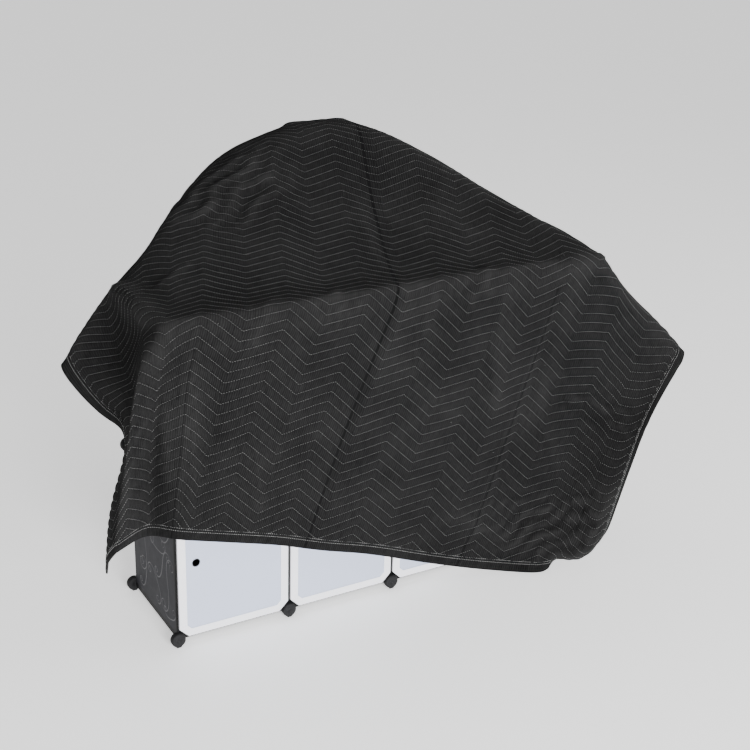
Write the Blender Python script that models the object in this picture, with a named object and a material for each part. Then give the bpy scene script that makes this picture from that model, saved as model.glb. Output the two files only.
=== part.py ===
"""A quilted moving pad draped over a storage cabinet, in metres, +Z up.

The pad is one sheet, 2.03 m along its front hem and 1.83 m from front to back, turned about twenty
degrees on the cabinet. It hangs down the front, lies on the top, climbs over a taller stand behind the
cabinet and falls away at the back. It is lofted from ribs: each rib is the run of one line of the cloth
from its front hem to its back hem. The zigzag quilting is raised in the upper face.
"""
import bisect
import math
from collections import namedtuple

import bmesh
import bpy
from mathutils import Matrix, Vector

CM = 0.01

# Pad
PAD_ALONG = 203.0
PAD_DEEP = 183.0
PAD_THICK = 0.4
PUFF = 0.3
ZIGZAG_PERIOD = 21.44
ZIGZAG_FIRST_PEAK = 5.0
ZIGZAG_HEIGHT = 5.66
LINE_FIRST = 2.9
LINE_PITCH = 3.03
LINE_COUNT = 59
HEM_EASE = 14.0
COLUMNS_A_LEG = 2
FOLD_COLUMNS = (7.7, 13.0, 18.4, 23.8, 29.1, 34.5)

# Cabinet, measured between the centres of its connectors
CUBE_WIDE = 32.5
CUBE_HIGH = 43.1
CUBE_DEEP = 32.5
CUBES_ALONG = 4
CUBES_UP = 2
FOOT_HIGH = 2.2
CONNECTOR_RADIUS = 2.0
CONNECTOR_DEPTH = 2.0
CONNECTOR_SIDES = 12
PANEL_THICK = 0.5
PANEL_INSET = 0.3
TRAY_THICK = 1.5
LID_SKIRT = 1.3
DOOR_GAP = 0.4
DOOR_PROUD = 0.5
DOOR_CORNER = 2.6
SEAT_GAP = 0.03
EDGE_BEVEL = 0.9
CABINET_WIDE = CUBE_WIDE * CUBES_ALONG
CABINET_TALL = CUBE_HIGH * CUBES_UP

# How far the middle of the cloth stays from the connectors' centre planes and from the stand
WRAP = 2.7
SEAT = WRAP - PAD_THICK / 2 - SEAT_GAP
EASE_PASSES = 12
EASE_STEP = 0.8
EASE_TOLERANCE = 0.01
EASE_SHARES = (0.0, 0.25, 0.5, 0.75, 1.0)
EASE_WEIGHTS = [((1 - a) * (1 - b), a * (1 - b), a * b, (1 - a) * b)
                for a in EASE_SHARES for b in EASE_SHARES]

# Rear stand, a plain block. The cloth arches over it, so its top reaches up to meet the arch
Block = namedtuple("Block", "name left right front back top")
STAND = Block("stand", 74.0, 91.0, 71.5, 82.0, 114.3)
STAND_REACH = 0.08

# Shape of the climb from the cabinet's top to the ridge: how far along, and how much of the rise
CLIMB_SHAPE = ((0.24, 0.0), (0.64, 0.38))

# The ribs, in centimetres. along: place on the front hem. over and top: length of cloth from the front hem
# to the brow and to the ridge. Points are (right, back, up) from the cabinet's front left corner on the
# floor. foot and front lie on the front fall, brow is the bend over the front edge, ridge the skyline.
Rib = namedtuple("Rib", "along over top hem foot front brow ridge back tail")
RIBS = (
    Rib(0, 53, 80, (-15, 10, 21), (-12, 12, 36), (-8, 11, 50), (-8, 11, 61), (-18.3, 34, 72.5), (0, 44, 62),
        (18, 56, 14)),
    Rib(9, 53, 90, (-17, 4, 27), (-15, 5, 42), (-9.5, 6, 57), (-8.5, 7, 69), (-11, 35, 82), (5, 48, 70),
        (20, 60, 22)),
    Rib(18, 54, 102, (-18, -4, 34), (-15, -2, 48), (-10, 1, 62), (-7, 2, 76), (-1, 37, 91), (11, 53, 78),
        (22, 64, 30)),
    Rib(25, 56, 110, (-16, -5, 36), (-14, -5, 54), (-11.5, -3, 70), (-7, -1, 84.5), (9, 42, 96), (17, 60, 82),
        (26, 68, 38)),
    Rib(37, 58, 124, (-6, 4, 33), (-5, 4, 53), (-4, 0, 74), (-2, -4, 90.5), (23, 54, 103), (30, 70, 97),
        (34, 82, 58)),
    Rib(48, 60, 139, (-2, -4, 35), (1, -4, 56), (3, -4, 78), (7, -4, 91), (36, 61, 108), (42, 80, 106),
        (45, 90, 84)),
    Rib(60, 65, 148, (2, -5, 34), (9, -5, 56), (15, -4, 77), (21, -4, 91), (51, 66, 114), (56, 84, 112),
        (59, 94, 99)),
    Rib(90, 77, 160, (26, -6, 27), (33, -5, 45), (43, -4, 70), (53, -4, 91), (80, 70, 118), (84, 84, 117.5),
        (87, 95, 112)),
    Rib(104, 83, 158, (39, -6, 22), (46, -5, 39), (57, -4, 66), (68, -4, 91), (95, 64, 117), (100, 78, 114),
        (102, 90, 106)),
    Rib(120, 88, 147, (54, -6, 17), (61, -5, 33), (73, -4, 62), (84, -4, 91), (109, 51, 110.8),
        (113, 66, 102), (113, 80, 86)),
    Rib(145, 97, 130, (76, -6, 8), (85, -5, 25), (97, -4, 57), (109, -4, 91), (122, 31, 100.5), (128, 48, 88),
        (123, 67, 62)),
    Rib(166, 103, 112, (96, -9, 2), (103, -6, 17), (116, -4, 51), (129, -4, 91), (132, 8, 92), (139, 34, 75),
        (126, 59, 43)),
    Rib(180, 100, 106, (108, -16, 2), (115, -9, 11), (129, -6, 44), (138.6, -6, 79.6), (140.6, 1, 79.6),
        (140, 34, 61), (128, 59, 31)),
    Rib(192, 95, 102, (115, -9, 2), (117, -21, 4), (134.5, -15, 44), (148.3, -10, 69.8), (150.3, -3, 69.8),
        (144, 30, 50), (130, 57, 20)),
    Rib(203, 91, 99, (121, -7, 2), (126, -19, 8), (137, -21, 48), (155, -14, 61), (158, -8, 61),
        (148, 26, 42), (133, 53, 10)),
)

# Creases, in centimetres of cloth: from and to (along, deep), how deep and how wide
Crease = namedtuple("Crease", "start end depth width")
CREASES = (
    Crease((96, 128), (100, 88), 0.9, 2.4),
    Crease((98, 82), (84, 22), -0.9, 3.0),
    Crease((48, 58), (46, 4), -0.7, 1.8),
    Crease((126, 96), (128, 84), 0.8, 2.0),
    Crease((152, 108), (128, 50), -0.9, 3.2),
    Crease((128, 54), (112, 16), -0.8, 3.0),
    Crease((166, 104), (150, 52), 1.4, 3.5),
    Crease((160, 60), (186, 48), -0.8, 2.0),
    Crease((140, 18), (176, 10), 0.9, 2.4),
)


def material(name, colour, roughness, metallic=0.0):
    """Return a plain finish."""
    made = bpy.data.materials.new(name)
    made.use_nodes = True
    shader = made.node_tree.nodes["Principled BSDF"]
    shader.inputs["Base Color"].default_value = (*colour, 1.0)
    shader.inputs["Roughness"].default_value = roughness
    shader.inputs["Metallic"].default_value = metallic
    return made


def add_object(name, mesh, finish):
    """Put a mesh into the scene as a named object with one finish."""
    mesh.materials.append(finish)
    made = bpy.data.objects.new(name, mesh)
    bpy.context.collection.objects.link(made)
    return made


def add_box(name, low, high, finish, bevel=0.0):
    """Add a box between two corners given in centimetres, with its edges cut back if asked."""
    shape = bmesh.new()
    bmesh.ops.create_cube(shape, size=1.0)
    for vert in shape.verts:
        for axis in range(3):
            vert.co[axis] = (high[axis] if vert.co[axis] > 0 else low[axis]) * CM
    if bevel:
        bmesh.ops.bevel(shape, geom=shape.edges[:], offset=bevel * CM, segments=1, affect="EDGES")
    mesh = bpy.data.meshes.new(name)
    shape.to_mesh(mesh)
    shape.free()
    return add_object(name, mesh, finish)


def smooth(amount):
    """Ease from 0 to 1."""
    amount = min(1.0, max(0.0, amount))
    return amount * amount * (3.0 - 2.0 * amount)


def hermite(before, start, end, after, part, times):
    """Cubic between two knots, with slopes from the knots on either side."""
    t0, t1, t2, t3 = times
    span = t2 - t1
    leave = (end - before) / (t2 - t0) * span
    arrive = (after - start) / (t3 - t1) * span
    sq, cu = part * part, part * part * part
    return (start * (2 * cu - 3 * sq + 1) + leave * (cu - 2 * sq + part)
            + end * (3 * sq - 2 * cu) + arrive * (cu - sq))


def rib_at(along):
    """Return the lengths over and top and the stations of the rib at any place on the front hem."""
    places = [rib.along for rib in RIBS]
    index = min(max(bisect.bisect_right(places, along) - 1, 0), len(RIBS) - 2)
    picks = [min(max(index + step, 0), len(RIBS) - 1) for step in (-1, 0, 1, 2)]
    times = [places[pick] for pick in picks]
    part = (along - times[1]) / (times[2] - times[1])
    fields = []
    for field in Rib._fields[1:]:
        values = [getattr(RIBS[pick], field) for pick in picks]
        if field not in ("over", "top"):
            values = [Vector(value) for value in values]
        fields.append(hermite(*values, part, times))
    over, top, hem, foot, front, brow, ridge, back, tail = fields
    climb = []
    for share, rise in CLIMB_SHAPE:
        point = brow.lerp(ridge, share)
        point.z = brow.z + (ridge.z - brow.z) * rise
        climb.append(point)
    return over, top, [hem, foot, front, brow, *climb, ridge, back, tail]


BROW, RIDGE = 3, 6
BROW_REACH = 5.5
SHARE_REACH = 0.45
BEND_STEPS = 8


def run_of(stations):
    """Round the corners of a rib. Return its points and the places of its brow and ridge among them."""
    points = [stations[0]]
    marks = {}
    for index in range(1, len(stations) - 1):
        here = stations[index]
        to_behind, to_ahead = stations[index - 1] - here, stations[index + 1] - here
        reach = SHARE_REACH * min(to_behind.length, to_ahead.length)
        if index == BROW:
            reach = min(reach, BROW_REACH)
        enter = here + to_behind.normalized() * reach
        leave = here + to_ahead.normalized() * reach
        for step in range(BEND_STEPS + 1):
            part = step / BEND_STEPS
            points.append(enter.lerp(here, part).lerp(here.lerp(leave, part), part))
        marks[index] = len(points) - 1 - BEND_STEPS // 2
    points.append(stations[-1])
    return points, marks[BROW], marks[RIDGE]


class RibRun:
    """One line of the cloth from the front hem to the back hem, measured along itself."""

    def __init__(self, along):
        self.over, self.top, stations = rib_at(along)
        self.points, brow, ridge = run_of(stations)
        self.lengths = [0.0]
        for first, second in zip(self.points, self.points[1:]):
            self.lengths.append(self.lengths[-1] + (second - first).length)
        self.knots = (
            (0.0, 0.0),
            (self.over, self.lengths[brow]),
            (self.top, self.lengths[ridge]),
            (PAD_DEEP, self.lengths[-1]),
        )

    def at(self, deep):
        """Return the point that lies this much cloth away from the front hem."""
        deep = min(max(deep, 0.0), PAD_DEEP)
        for (d0, s0), (d1, s1) in zip(self.knots, self.knots[1:]):
            if deep <= d1:
                length = s0 + (s1 - s0) * (deep - d0) / (d1 - d0)
                break
        index = min(max(bisect.bisect_right(self.lengths, length) - 1, 0), len(self.points) - 2)
        span = self.lengths[index + 1] - self.lengths[index]
        return self.points[index].lerp(self.points[index + 1], (length - self.lengths[index]) / span)


def keep_off(point, low, high, distance):
    """Push a point out of a box to a rounded skin at this distance from it."""
    nearest = Vector([min(max(point[axis], low[axis]), high[axis]) for axis in range(3)])
    away = point - nearest
    if away.length > distance:
        return point
    if away.length > 0.0:
        return nearest + away.normalized() * distance
    depths = [(point.x - low[0], (-1, 0, 0)), (high[0] - point.x, (1, 0, 0)), (point.y - low[1], (0, -1, 0)),
              (high[1] - point.y, (0, 1, 0)), (high[2] - point.z, (0, 0, 1))]
    depth, way = min(depths)
    return point + Vector(way) * (depth + distance)


def settle(point):
    """Keep the middle of the cloth off the cabinet, the stand and the floor."""
    point = keep_off(point, (0, 0, 0), (CABINET_WIDE, CUBE_DEEP, FOOT_HIGH + CABINET_TALL), WRAP)
    low, high = (STAND.left, STAND.front, 0), (STAND.right, STAND.back, STAND.top)
    point = keep_off(point, low, high, WRAP)
    point.z = max(point.z, PAD_THICK / 2 + SEAT_GAP)
    return point


def crease_lift(along, deep):
    """How far the creases lift or sink the cloth here."""
    total = 0.0
    here = Vector((along, deep))
    for crease in CREASES:
        start = Vector(crease.start)
        axis = Vector(crease.end) - start
        part = (here - start).dot(axis) / axis.length_squared
        fade = smooth(part * 4.0) * smooth((1.0 - part) * 4.0)
        aside = (here - start - axis * part).length / crease.width
        total += crease.depth * fade * math.exp(-aside * aside)
    return total


def zigzag_drop(along):
    """How far a quilting line lies below its peaks here, between 0 and the zigzag's height."""
    phase = (along - ZIGZAG_FIRST_PEAK) / ZIGZAG_PERIOD
    return ZIGZAG_HEIGHT * (1.0 - abs(2.0 * (phase - math.floor(phase)) - 1.0))


def deep_of(row_deep, along):
    """Length of cloth from the front hem to a quilting row, eased straight towards both hems."""
    ease = smooth(min(row_deep, PAD_DEEP - row_deep) / HEM_EASE)
    return row_deep - zigzag_drop(along) * ease


def quilting_rows():
    """Lengths of cloth to the rows at a zigzag's peak: the hems and each line of stitching."""
    return [0.0, *(LINE_FIRST + LINE_PITCH * line for line in range(LINE_COUNT)), PAD_DEEP]


def pad_columns():
    """Places along the front hem: the side hems, even steps along the zigzag, and more at the left fold."""
    step = ZIGZAG_PERIOD / 2 / COLUMNS_A_LEG
    count = int((PAD_ALONG - ZIGZAG_FIRST_PEAK) / step)
    even = (ZIGZAG_FIRST_PEAK + step * index for index in range(count + 1))
    return sorted([0.0, *even, *FOLD_COLUMNS, PAD_ALONG])


def ease_off(grid):
    """Move the grid until the insides of its faces also clear what carries the cloth."""
    for _ in range(EASE_PASSES):
        for left, right in zip(grid, grid[1:]):
            for row in range(len(left) - 1):
                corners = (left[row], right[row], right[row + 1], left[row + 1])
                for weights in EASE_WEIGHTS:
                    inside = sum((corner * weight for corner, weight in zip(corners, weights)), Vector())
                    push = settle(inside) - inside
                    if push.length > EASE_TOLERANCE:
                        for corner, weight in zip(corners, weights):
                            corner += push * weight * EASE_STEP


def normals_of(grid):
    """Return the normals of a grid of points."""
    sheet = bmesh.new()
    verts = [[sheet.verts.new(point) for point in column] for column in grid]
    for left, right in zip(verts, verts[1:]):
        for row in range(len(left) - 1):
            sheet.faces.new((left[row], right[row], right[row + 1], left[row + 1]))
    sheet.normal_update()
    normals = [[vert.normal.copy() for vert in column] for column in verts]
    sheet.free()
    return normals


def add_pad(finish):
    """Add the pad: a quilted upper face and a smooth underside, closed round the hems."""
    rows, columns = quilting_rows(), pad_columns()
    grid, lifts = [], []
    for along in columns:
        run = RibRun(along)
        deeps = [deep_of(row, along) for row in rows]
        grid.append([settle(run.at(deep)) for deep in deeps])
        lifts.append([crease_lift(along, deep) for deep in deeps])
    for passes in range(2):
        ease_off(grid)
        normals = normals_of(grid)
        if passes == 0:
            for column, face, lift in zip(grid, normals, lifts):
                for point, normal, amount in zip(column, face, lift):
                    point += normal * amount
    shape = bmesh.new()
    upper, under = [], []
    for column, face in zip(grid, normals):
        outer = column is grid[0] or column is grid[-1]
        tops, bottoms = [], []
        for row, (point, normal) in enumerate(zip(column, face)):
            puffed = row % 2 == 0 and 0 < row < len(rows) - 1 and not outer
            outward = PAD_THICK / 2 + (PUFF if puffed else 0.0)
            tops.append(shape.verts.new((point + normal * outward) * CM))
            bottoms.append(shape.verts.new((point - normal * PAD_THICK / 2) * CM))
        upper.append(tops)
        under.append(bottoms)
    for row in range(len(rows) - 1):
        for left, right in zip(upper, upper[1:]):
            shape.faces.new((left[row], right[row], right[row + 1], left[row + 1]))
        for left, right in zip(under, under[1:]):
            shape.faces.new((left[row], left[row + 1], right[row + 1], right[row]))
        shape.faces.new((under[0][row], upper[0][row], upper[0][row + 1], under[0][row + 1]))
        shape.faces.new((upper[-1][row], under[-1][row], under[-1][row + 1], upper[-1][row + 1]))
    for (top, top_after), (low, low_after) in zip(zip(upper, upper[1:]), zip(under, under[1:])):
        shape.faces.new((low[0], low_after[0], top_after[0], top[0]))
        shape.faces.new((top[-1], top_after[-1], low_after[-1], low[-1]))
    bmesh.ops.triangulate(shape, faces=shape.faces[:], quad_method="SHORT_EDGE")
    mesh = bpy.data.meshes.new("pad")
    shape.to_mesh(mesh)
    shape.free()
    mesh.shade_smooth()
    return add_object("pad", mesh, finish)


def add_connector(name, place, finish, has_foot):
    """Add a round connector with its axis front to back, and a flat foot under a bottom one."""
    profile = []
    for side in range(CONNECTOR_SIDES):
        angle = math.tau * (side + 0.5) / CONNECTOR_SIDES
        across, up = CONNECTOR_RADIUS * math.cos(angle), CONNECTOR_RADIUS * math.sin(angle)
        if has_foot and math.sin(angle) < -0.9:
            up = -place[2]
        profile.append((place[0] + across, place[2] + up))
    shape = bmesh.new()
    ends = []
    for y in (place[1] - CONNECTOR_DEPTH / 2, place[1] + CONNECTOR_DEPTH / 2):
        ends.append([shape.verts.new(Vector((x, y, z)) * CM) for x, z in profile])
    shape.faces.new(ends[0])
    shape.faces.new(ends[1][::-1])
    for side in range(CONNECTOR_SIDES):
        after = (side + 1) % CONNECTOR_SIDES
        shape.faces.new((ends[0][after], ends[0][side], ends[1][side], ends[1][after]))
    mesh = bpy.data.meshes.new(name)
    shape.to_mesh(mesh)
    shape.free()
    return add_object(name, mesh, finish)


def add_door(name, low, high, finish):
    """Add a door whose corners are cut off to pass the connectors."""
    shape = bmesh.new()
    cut = DOOR_CORNER
    outline = [
        (low[0] + cut, low[2]), (high[0] - cut, low[2]), (high[0], low[2] + cut), (high[0], high[2] - cut),
        (high[0] - cut, high[2]), (low[0] + cut, high[2]), (low[0], high[2] - cut), (low[0], low[2] + cut),
    ]
    front = [shape.verts.new(Vector((x, low[1], z)) * CM) for x, z in outline]
    back = [shape.verts.new(Vector((x, high[1], z)) * CM) for x, z in outline]
    shape.faces.new(front)
    shape.faces.new(back[::-1])
    for side in range(len(outline)):
        after = (side + 1) % len(outline)
        shape.faces.new((front[after], front[side], back[side], back[after]))
    mesh = bpy.data.meshes.new(name)
    shape.to_mesh(mesh)
    shape.free()
    return add_object(name, mesh, finish)


def add_cabinet(shell, door, joint):
    """Add the panels, the doors and the connectors."""
    bottom, top = FOOT_HIGH, FOOT_HIGH + CABINET_TALL
    near = CONNECTOR_DEPTH / 2 + SEAT_GAP
    far = CUBE_DEEP - near
    tray_top, lid_low = bottom + TRAY_THICK / 2, top - LID_SKIRT
    outer, inner = PANEL_INSET, PANEL_INSET + PANEL_THICK
    low_z, high_z = tray_top + SEAT_GAP, lid_low - SEAT_GAP
    back_front = far - PANEL_THICK
    add_box("cabinet_lid", (outer, near, lid_low), (CABINET_WIDE - outer, far, top + SEAT), shell, EDGE_BEVEL)
    add_box("cabinet_tray", (outer, near, tray_top - TRAY_THICK), (CABINET_WIDE - outer, far, tray_top),
            shell)
    for name, left in (("cabinet_side_left", outer), ("cabinet_side_right", CABINET_WIDE - inner)):
        add_box(name, (left, near, low_z), (left + PANEL_THICK, far, high_z), shell)
    add_box("cabinet_back", (inner + SEAT_GAP, back_front, low_z),
            (CABINET_WIDE - inner - SEAT_GAP, far, high_z), shell)
    for number in range(1, CUBES_ALONG):
        middle = CUBE_WIDE * number
        add_box(f"cabinet_divider_{number}", (middle - PANEL_THICK / 2, near, low_z),
                (middle + PANEL_THICK / 2, back_front - SEAT_GAP, high_z), shell)
    for row in range(CUBES_UP):
        for number in range(CUBES_ALONG):
            left, low = CUBE_WIDE * number, bottom + CUBE_HIGH * row
            add_door(f"door_{row + 1}_{number + 1}", (left + DOOR_GAP, -DOOR_PROUD, low + DOOR_GAP),
                     (left + CUBE_WIDE - DOOR_GAP, near - SEAT_GAP, low + CUBE_HIGH - DOOR_GAP), door)
    for side, y in (("front", 0.0), ("back", CUBE_DEEP)):
        for row in range(CUBES_UP + 1):
            for number in range(CUBES_ALONG + 1):
                place = (CUBE_WIDE * number, y, bottom + CUBE_HIGH * row)
                add_connector(f"connector_{side}_{row + 1}_{number + 1}", place, joint, row == 0)


def centre_on_origin():
    """Shift every object so that the middle of the bounding box's underside is the origin."""
    points = [vert.co for made in bpy.data.objects for vert in made.data.vertices]
    low = [min(point[axis] for point in points) for axis in range(3)]
    high = [max(point[axis] for point in points) for axis in range(3)]
    shift = Vector((-(low[0] + high[0]) / 2, -(low[1] + high[1]) / 2, -low[2]))
    for made in bpy.data.objects:
        made.data.transform(Matrix.Translation(shift))


def build():
    """Build the whole part."""
    for old in list(bpy.data.objects):
        bpy.data.objects.remove(old, do_unlink=True)
    cloth = material("pad cloth", (0.012, 0.012, 0.013), 0.95)
    panel = material("dark panel", (0.045, 0.045, 0.05), 0.5)
    door = material("pale door panel", (0.62, 0.66, 0.74), 0.4)
    joint = material("dark connector", (0.03, 0.03, 0.032), 0.55)
    board = material("plain board", (0.35, 0.27, 0.18), 0.8)
    add_pad(cloth)
    add_cabinet(panel, door, joint)
    stand_top = STAND.top + SEAT + STAND_REACH
    add_box(STAND.name, (STAND.left, STAND.front, 0.0), (STAND.right, STAND.back, stand_top), board, EDGE_BEVEL)
    centre_on_origin()


build()
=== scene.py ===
"""Dressed scene of a quilted moving pad draped over a storage cabinet.

The pad is one sheet of charcoal cloth, 2.03 m by 1.83 m, quilted in zigzag channels with pale thread and
hemmed all round. It lies over a low cabinet of eight cubes and arches over a plain stand behind it. Every
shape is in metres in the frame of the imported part; the drape's tables are in centimetres, measured from the
cabinet's front left connector on the floor, as in the part's own source.
"""
import logging
import math
from dataclasses import dataclass, field
from enum import Enum

import bmesh
import bpy
import numpy as np
from mathutils import Matrix, Vector


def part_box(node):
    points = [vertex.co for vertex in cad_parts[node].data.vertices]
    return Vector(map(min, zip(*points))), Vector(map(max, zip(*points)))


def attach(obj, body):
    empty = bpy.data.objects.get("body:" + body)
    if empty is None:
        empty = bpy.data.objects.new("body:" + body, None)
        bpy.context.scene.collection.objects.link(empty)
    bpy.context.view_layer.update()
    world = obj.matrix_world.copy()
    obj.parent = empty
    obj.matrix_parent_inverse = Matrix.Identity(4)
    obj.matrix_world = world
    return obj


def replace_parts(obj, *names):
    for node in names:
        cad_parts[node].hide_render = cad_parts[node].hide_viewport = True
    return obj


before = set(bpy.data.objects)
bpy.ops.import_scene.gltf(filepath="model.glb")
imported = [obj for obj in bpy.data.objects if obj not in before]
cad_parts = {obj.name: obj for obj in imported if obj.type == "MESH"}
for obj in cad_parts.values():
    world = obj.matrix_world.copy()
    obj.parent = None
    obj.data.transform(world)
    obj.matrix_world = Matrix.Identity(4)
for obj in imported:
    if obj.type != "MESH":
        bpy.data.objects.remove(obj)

LOG = logging.getLogger("moving_pad")
CM = 0.01
ROOT = "root"

Socket = bpy.types.NodeSocket
Mesh = bpy.types.Mesh
Material = bpy.types.Material

# The ribs of the drape. Each row is the run of one line of cloth from the front hem to the back hem: its
# place on the front hem, the cloth from the front hem to the brow and to the ridge, and seven stations.
RIBS = (
    (0, 53, 80, (-15, 10, 21), (-12, 12, 36), (-8, 11, 50), (-8, 11, 61), (-18.3, 34, 72.5), (0, 44, 62),
     (18, 56, 14)),
    (9, 53, 90, (-17, 4, 27), (-15, 5, 42), (-9.5, 6, 57), (-8.5, 7, 69), (-11, 35, 82), (5, 48, 70),
     (20, 60, 22)),
    (18, 54, 102, (-18, -4, 34), (-15, -2, 48), (-10, 1, 62), (-7, 2, 76), (-1, 37, 91), (11, 53, 78),
     (22, 64, 30)),
    (25, 56, 110, (-16, -5, 36), (-14, -5, 54), (-11.5, -3, 70), (-7, -1, 84.5), (9, 42, 96), (17, 60, 82),
     (26, 68, 38)),
    (37, 58, 124, (-6, 4, 33), (-5, 4, 53), (-4, 0, 74), (-2, -4, 90.5), (23, 54, 103), (30, 70, 97),
     (34, 82, 58)),
    (48, 60, 139, (-2, -4, 35), (1, -4, 56), (3, -4, 78), (7, -4, 91), (36, 61, 108), (42, 80, 106),
     (45, 90, 84)),
    (60, 65, 148, (2, -5, 34), (9, -5, 56), (15, -4, 77), (21, -4, 91), (51, 66, 114), (56, 84, 112),
     (59, 94, 99)),
    (90, 77, 160, (26, -6, 27), (33, -5, 45), (43, -4, 70), (53, -4, 91), (80, 70, 118), (84, 84, 117.5),
     (87, 95, 112)),
    (104, 83, 158, (39, -6, 22), (46, -5, 39), (57, -4, 66), (68, -4, 91), (95, 64, 117), (100, 78, 114),
     (102, 90, 106)),
    (120, 88, 147, (54, -6, 17), (61, -5, 33), (73, -4, 62), (84, -4, 91), (109, 51, 110.8), (113, 66, 102),
     (113, 80, 86)),
    (145, 97, 130, (76, -6, 8), (85, -5, 25), (97, -4, 57), (109, -4, 91), (122, 31, 100.5), (128, 48, 88),
     (123, 67, 62)),
    (166, 103, 112, (96, -9, 2), (103, -6, 17), (116, -4, 51), (129, -4, 91), (132, 8, 92), (139, 34, 75),
     (126, 59, 43)),
    (180, 100, 106, (108, -16, 2), (115, -9, 11), (129, -6, 44), (138.6, -6, 79.6), (140.6, 1, 79.6),
     (140, 34, 61), (128, 59, 31)),
    (192, 95, 102, (115, -9, 2), (117, -21, 4), (134.5, -15, 44), (148.3, -10, 69.8), (150.3, -3, 69.8),
     (144, 30, 50), (130, 57, 20)),
    (203, 91, 99, (121, -7, 2), (126, -19, 8), (137, -21, 48), (155, -14, 61), (158, -8, 61), (148, 26, 42),
     (133, 53, 10)),
)

# Folds and wrinkles, in centimetres of cloth: from (along, deep), to (along, deep), height and width
WRINKLES = (
    ((96, 128), (100, 88), 0.6, 2.4),
    ((102, 84), (103, 30), 0.5, 3.6),
    ((98, 82), (84, 22), -0.3, 2.6),
    ((37, 64), (36, 2), 1.0, 4.6),
    ((56, 58), (63, 4), -1.2, 4.4),
    ((126, 96), (128, 84), 0.8, 2.0),
    ((128, 54), (112, 16), -0.6, 2.6),
    ((165, 106), (169, 44), -1.2, 4.0),
    ((132, 94), (147, 48), 0.9, 3.4),
    ((160, 60), (186, 56), -0.8, 1.6),
    ((140, 18), (176, 10), 0.7, 2.2),
    ((66, 70), (62, 56), 0.5, 1.6),
    ((81, 82), (84, 70), 0.6, 1.5),
    ((60, 62), (66, 78), 0.4, 1.5),
    ((110, 88), (112, 70), 0.5, 1.7),
    ((121, 92), (120, 78), -0.5, 1.6),
    ((58, 150), (72, 128), 0.7, 2.2),
    ((44, 118), (62, 142), 0.8, 2.2),
    ((50, 112), (66, 136), -0.6, 2.0),
    ((36, 104), (52, 126), -0.5, 2.2),
    ((30, 84), (46, 98), 0.5, 1.8),
    ((112, 130), (128, 112), 0.4, 2.2),
    ((74, 30), (82, 8), 0.4, 1.8),
)

# Sharp folds left by the packing, in the same way
PACKING_FOLDS = (
    ((99, 168), (98.5, 84), -0.7, 1.1),
    ((98.5, 86), (99.5, 2), -0.75, 1.0),
    ((152, 92), (152.5, 2), 0.8, 1.4),
    ((47, 60), (48.5, 3), 0.6, 1.1),
    ((50, 150), (48, 66), 0.35, 1.6),
    ((152, 150), (153, 108), -0.4, 1.6),
    ((2, 91), (60, 92), -0.3, 1.4),
)

# Puckered patches: middle (along, deep), reach of each, direction in degrees, wavelength and height
PUCKERS = (
    ((176, 16), (15, 10), 42, 4.8, 1.15),
    ((186, 24), (9, 8), 65, 4.2, 0.8),
    ((184, 60), (14, 4.5), 5, 4.2, 0.9),
    ((48, 62), (12, 6), 75, 3.8, 0.4),
    ((82, 77), (12, 5), 82, 4.0, 0.4),
    ((112, 86), (14, 5), 85, 4.4, 0.4),
    ((48, 40), (3.5, 16), 80, 3.6, 0.22),
    ((55, 132), (18, 16), 52, 7.0, 0.6),
    ((30, 30), (8, 14), 70, 4.6, 0.24),
    ((196, 92), (8, 14), 30, 4.2, 0.26),
)


class Light(Enum):
    """The soft lights of the studio, by the job that each one does."""

    KEY = "key"
    FILL = "fill"
    TOP = "top"


def smooth_step(amount: np.ndarray) -> np.ndarray:
    """Ease from 0 to 1, flat at both ends.

    Args:
        amount: Values of any range.

    Returns:
        The eased values, held between 0 and 1.
    """
    held = np.clip(amount, 0.0, 1.0)
    return held * held * (3.0 - 2.0 * held)


def unit(vectors: np.ndarray) -> np.ndarray:
    """Return the vectors of the last axis at length one."""
    return vectors / np.maximum(np.linalg.norm(vectors, axis=-1, keepdims=True), 1e-9)


@dataclass(frozen=True)
class QuiltPattern:
    """The zigzag quilting, in centimetres of flat cloth."""

    along: float = 203.0
    deep: float = 183.0
    period: float = 21.44
    first_peak: float = 5.0
    height: float = 5.66
    first_line: float = 2.9
    pitch: float = 3.03
    lines: int = 60
    band: float = 3.0
    hem_ease: float = 0.8
    hem_fullness: float = 0.55
    roundness: float = 0.55

    def drop(self, along: np.ndarray) -> np.ndarray:
        """Return how far a quilting line lies below its peaks at these places along the hem."""
        phase = (along - self.first_peak) / self.period
        return self.height * (1.0 - np.abs(2.0 * (phase - np.floor(phase)) - 1.0))

    def row_deep(self, row: np.ndarray, along: np.ndarray) -> np.ndarray:
        """Place a mesh row that follows the quilting, and squeeze the rows that fall within the two hems.

        Args:
            row: Depth of the row at a zigzag's peak, from 0 to the cloth's depth and the zigzag's height.
            along: Places along the front hem.

        Returns:
            The depth of the row at each place.
        """
        drop = self.drop(along)
        front = row * self.band / (drop + self.band)
        left = self.deep + self.height - row
        back = self.deep - left * self.band / (self.height - drop + self.band)
        deep = np.where(row < drop + self.band, front, row - drop)
        return np.where(left < self.height - drop + self.band, back, deep)

    def pillow(self, along: np.ndarray, deep: np.ndarray) -> np.ndarray:
        """Return the swell of the channels between their stitching, from 0 on a line to 1."""
        phase = (deep + self.drop(along) - self.first_line) / self.pitch
        swell = np.abs(np.sin(math.pi * phase)) ** self.roundness
        inside = self.inside_hems(along, deep)
        return swell * inside + self.hem_fullness * (1.0 - inside)

    def inside_hems(self, along: np.ndarray, deep: np.ndarray) -> np.ndarray:
        """Return 1 on the quilted cloth, easing to 0 on the hems."""
        edge = np.minimum.reduce([along, self.along - along, deep, self.deep - deep])
        return smooth_step((edge - self.band) / self.hem_ease)


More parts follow.
